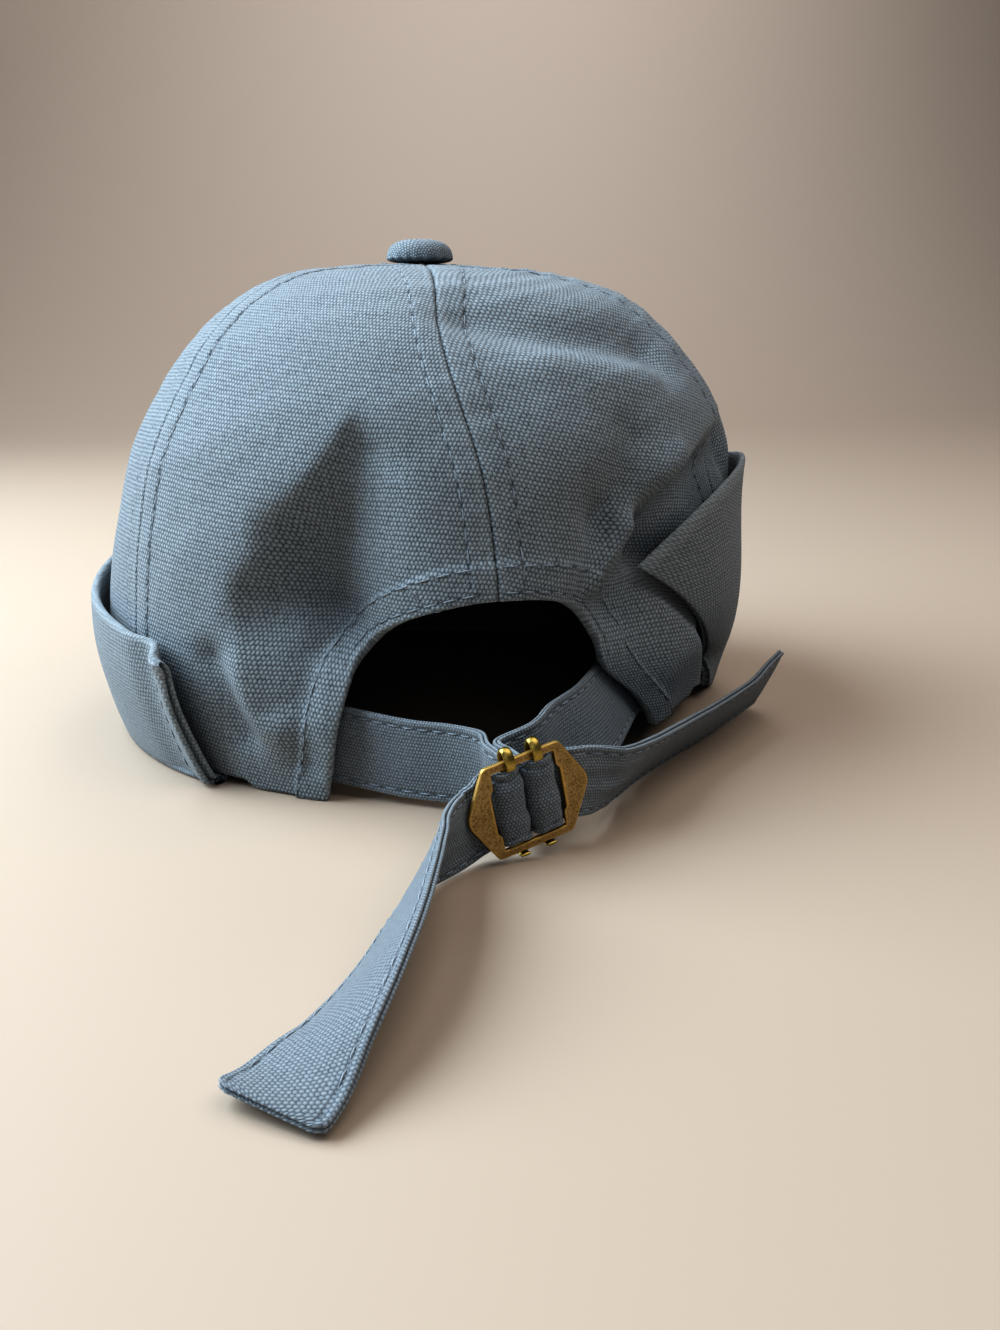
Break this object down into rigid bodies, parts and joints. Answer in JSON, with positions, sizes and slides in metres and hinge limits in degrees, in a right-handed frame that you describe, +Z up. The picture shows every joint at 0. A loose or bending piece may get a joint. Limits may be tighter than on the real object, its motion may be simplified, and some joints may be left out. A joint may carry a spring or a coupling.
{
  "type": "docker cap",
  "caption": "Brimless rounded canvas cap of sewn gores with a turned-up cuff, a covered button and an arched back opening closed by a strap and slide buckle.",
  "frame": {"origin": "middle of the head opening, on the surface that the cap rests on", "axes": "+Z up through the button; +Y towards the cap's front, away from its back opening; +X towards the wearer's right side"},
  "size_m": [0.1968, 0.2988, 0.1357],
  "materials": {
    "canvas": "matte plain-weave cotton duck, blue-grey",
    "brass": "antiqued, dark in its pits and bright where it is rubbed"
  },
  "bodies": {
    "root": {"gore_back_left": "canvas", "gore_back_right": "canvas", "gore_right": "canvas", "gore_front_right": "canvas", "gore_front_left": "canvas", "gore_left": "canvas", "top_button": "canvas", "cuff": "canvas", "strap_left": "canvas", "strap_right": "canvas", "buckle_frame": "brass", "buckle_bar_left": "brass", "buckle_bar_right": "brass"}
  },
  "joints": []
}
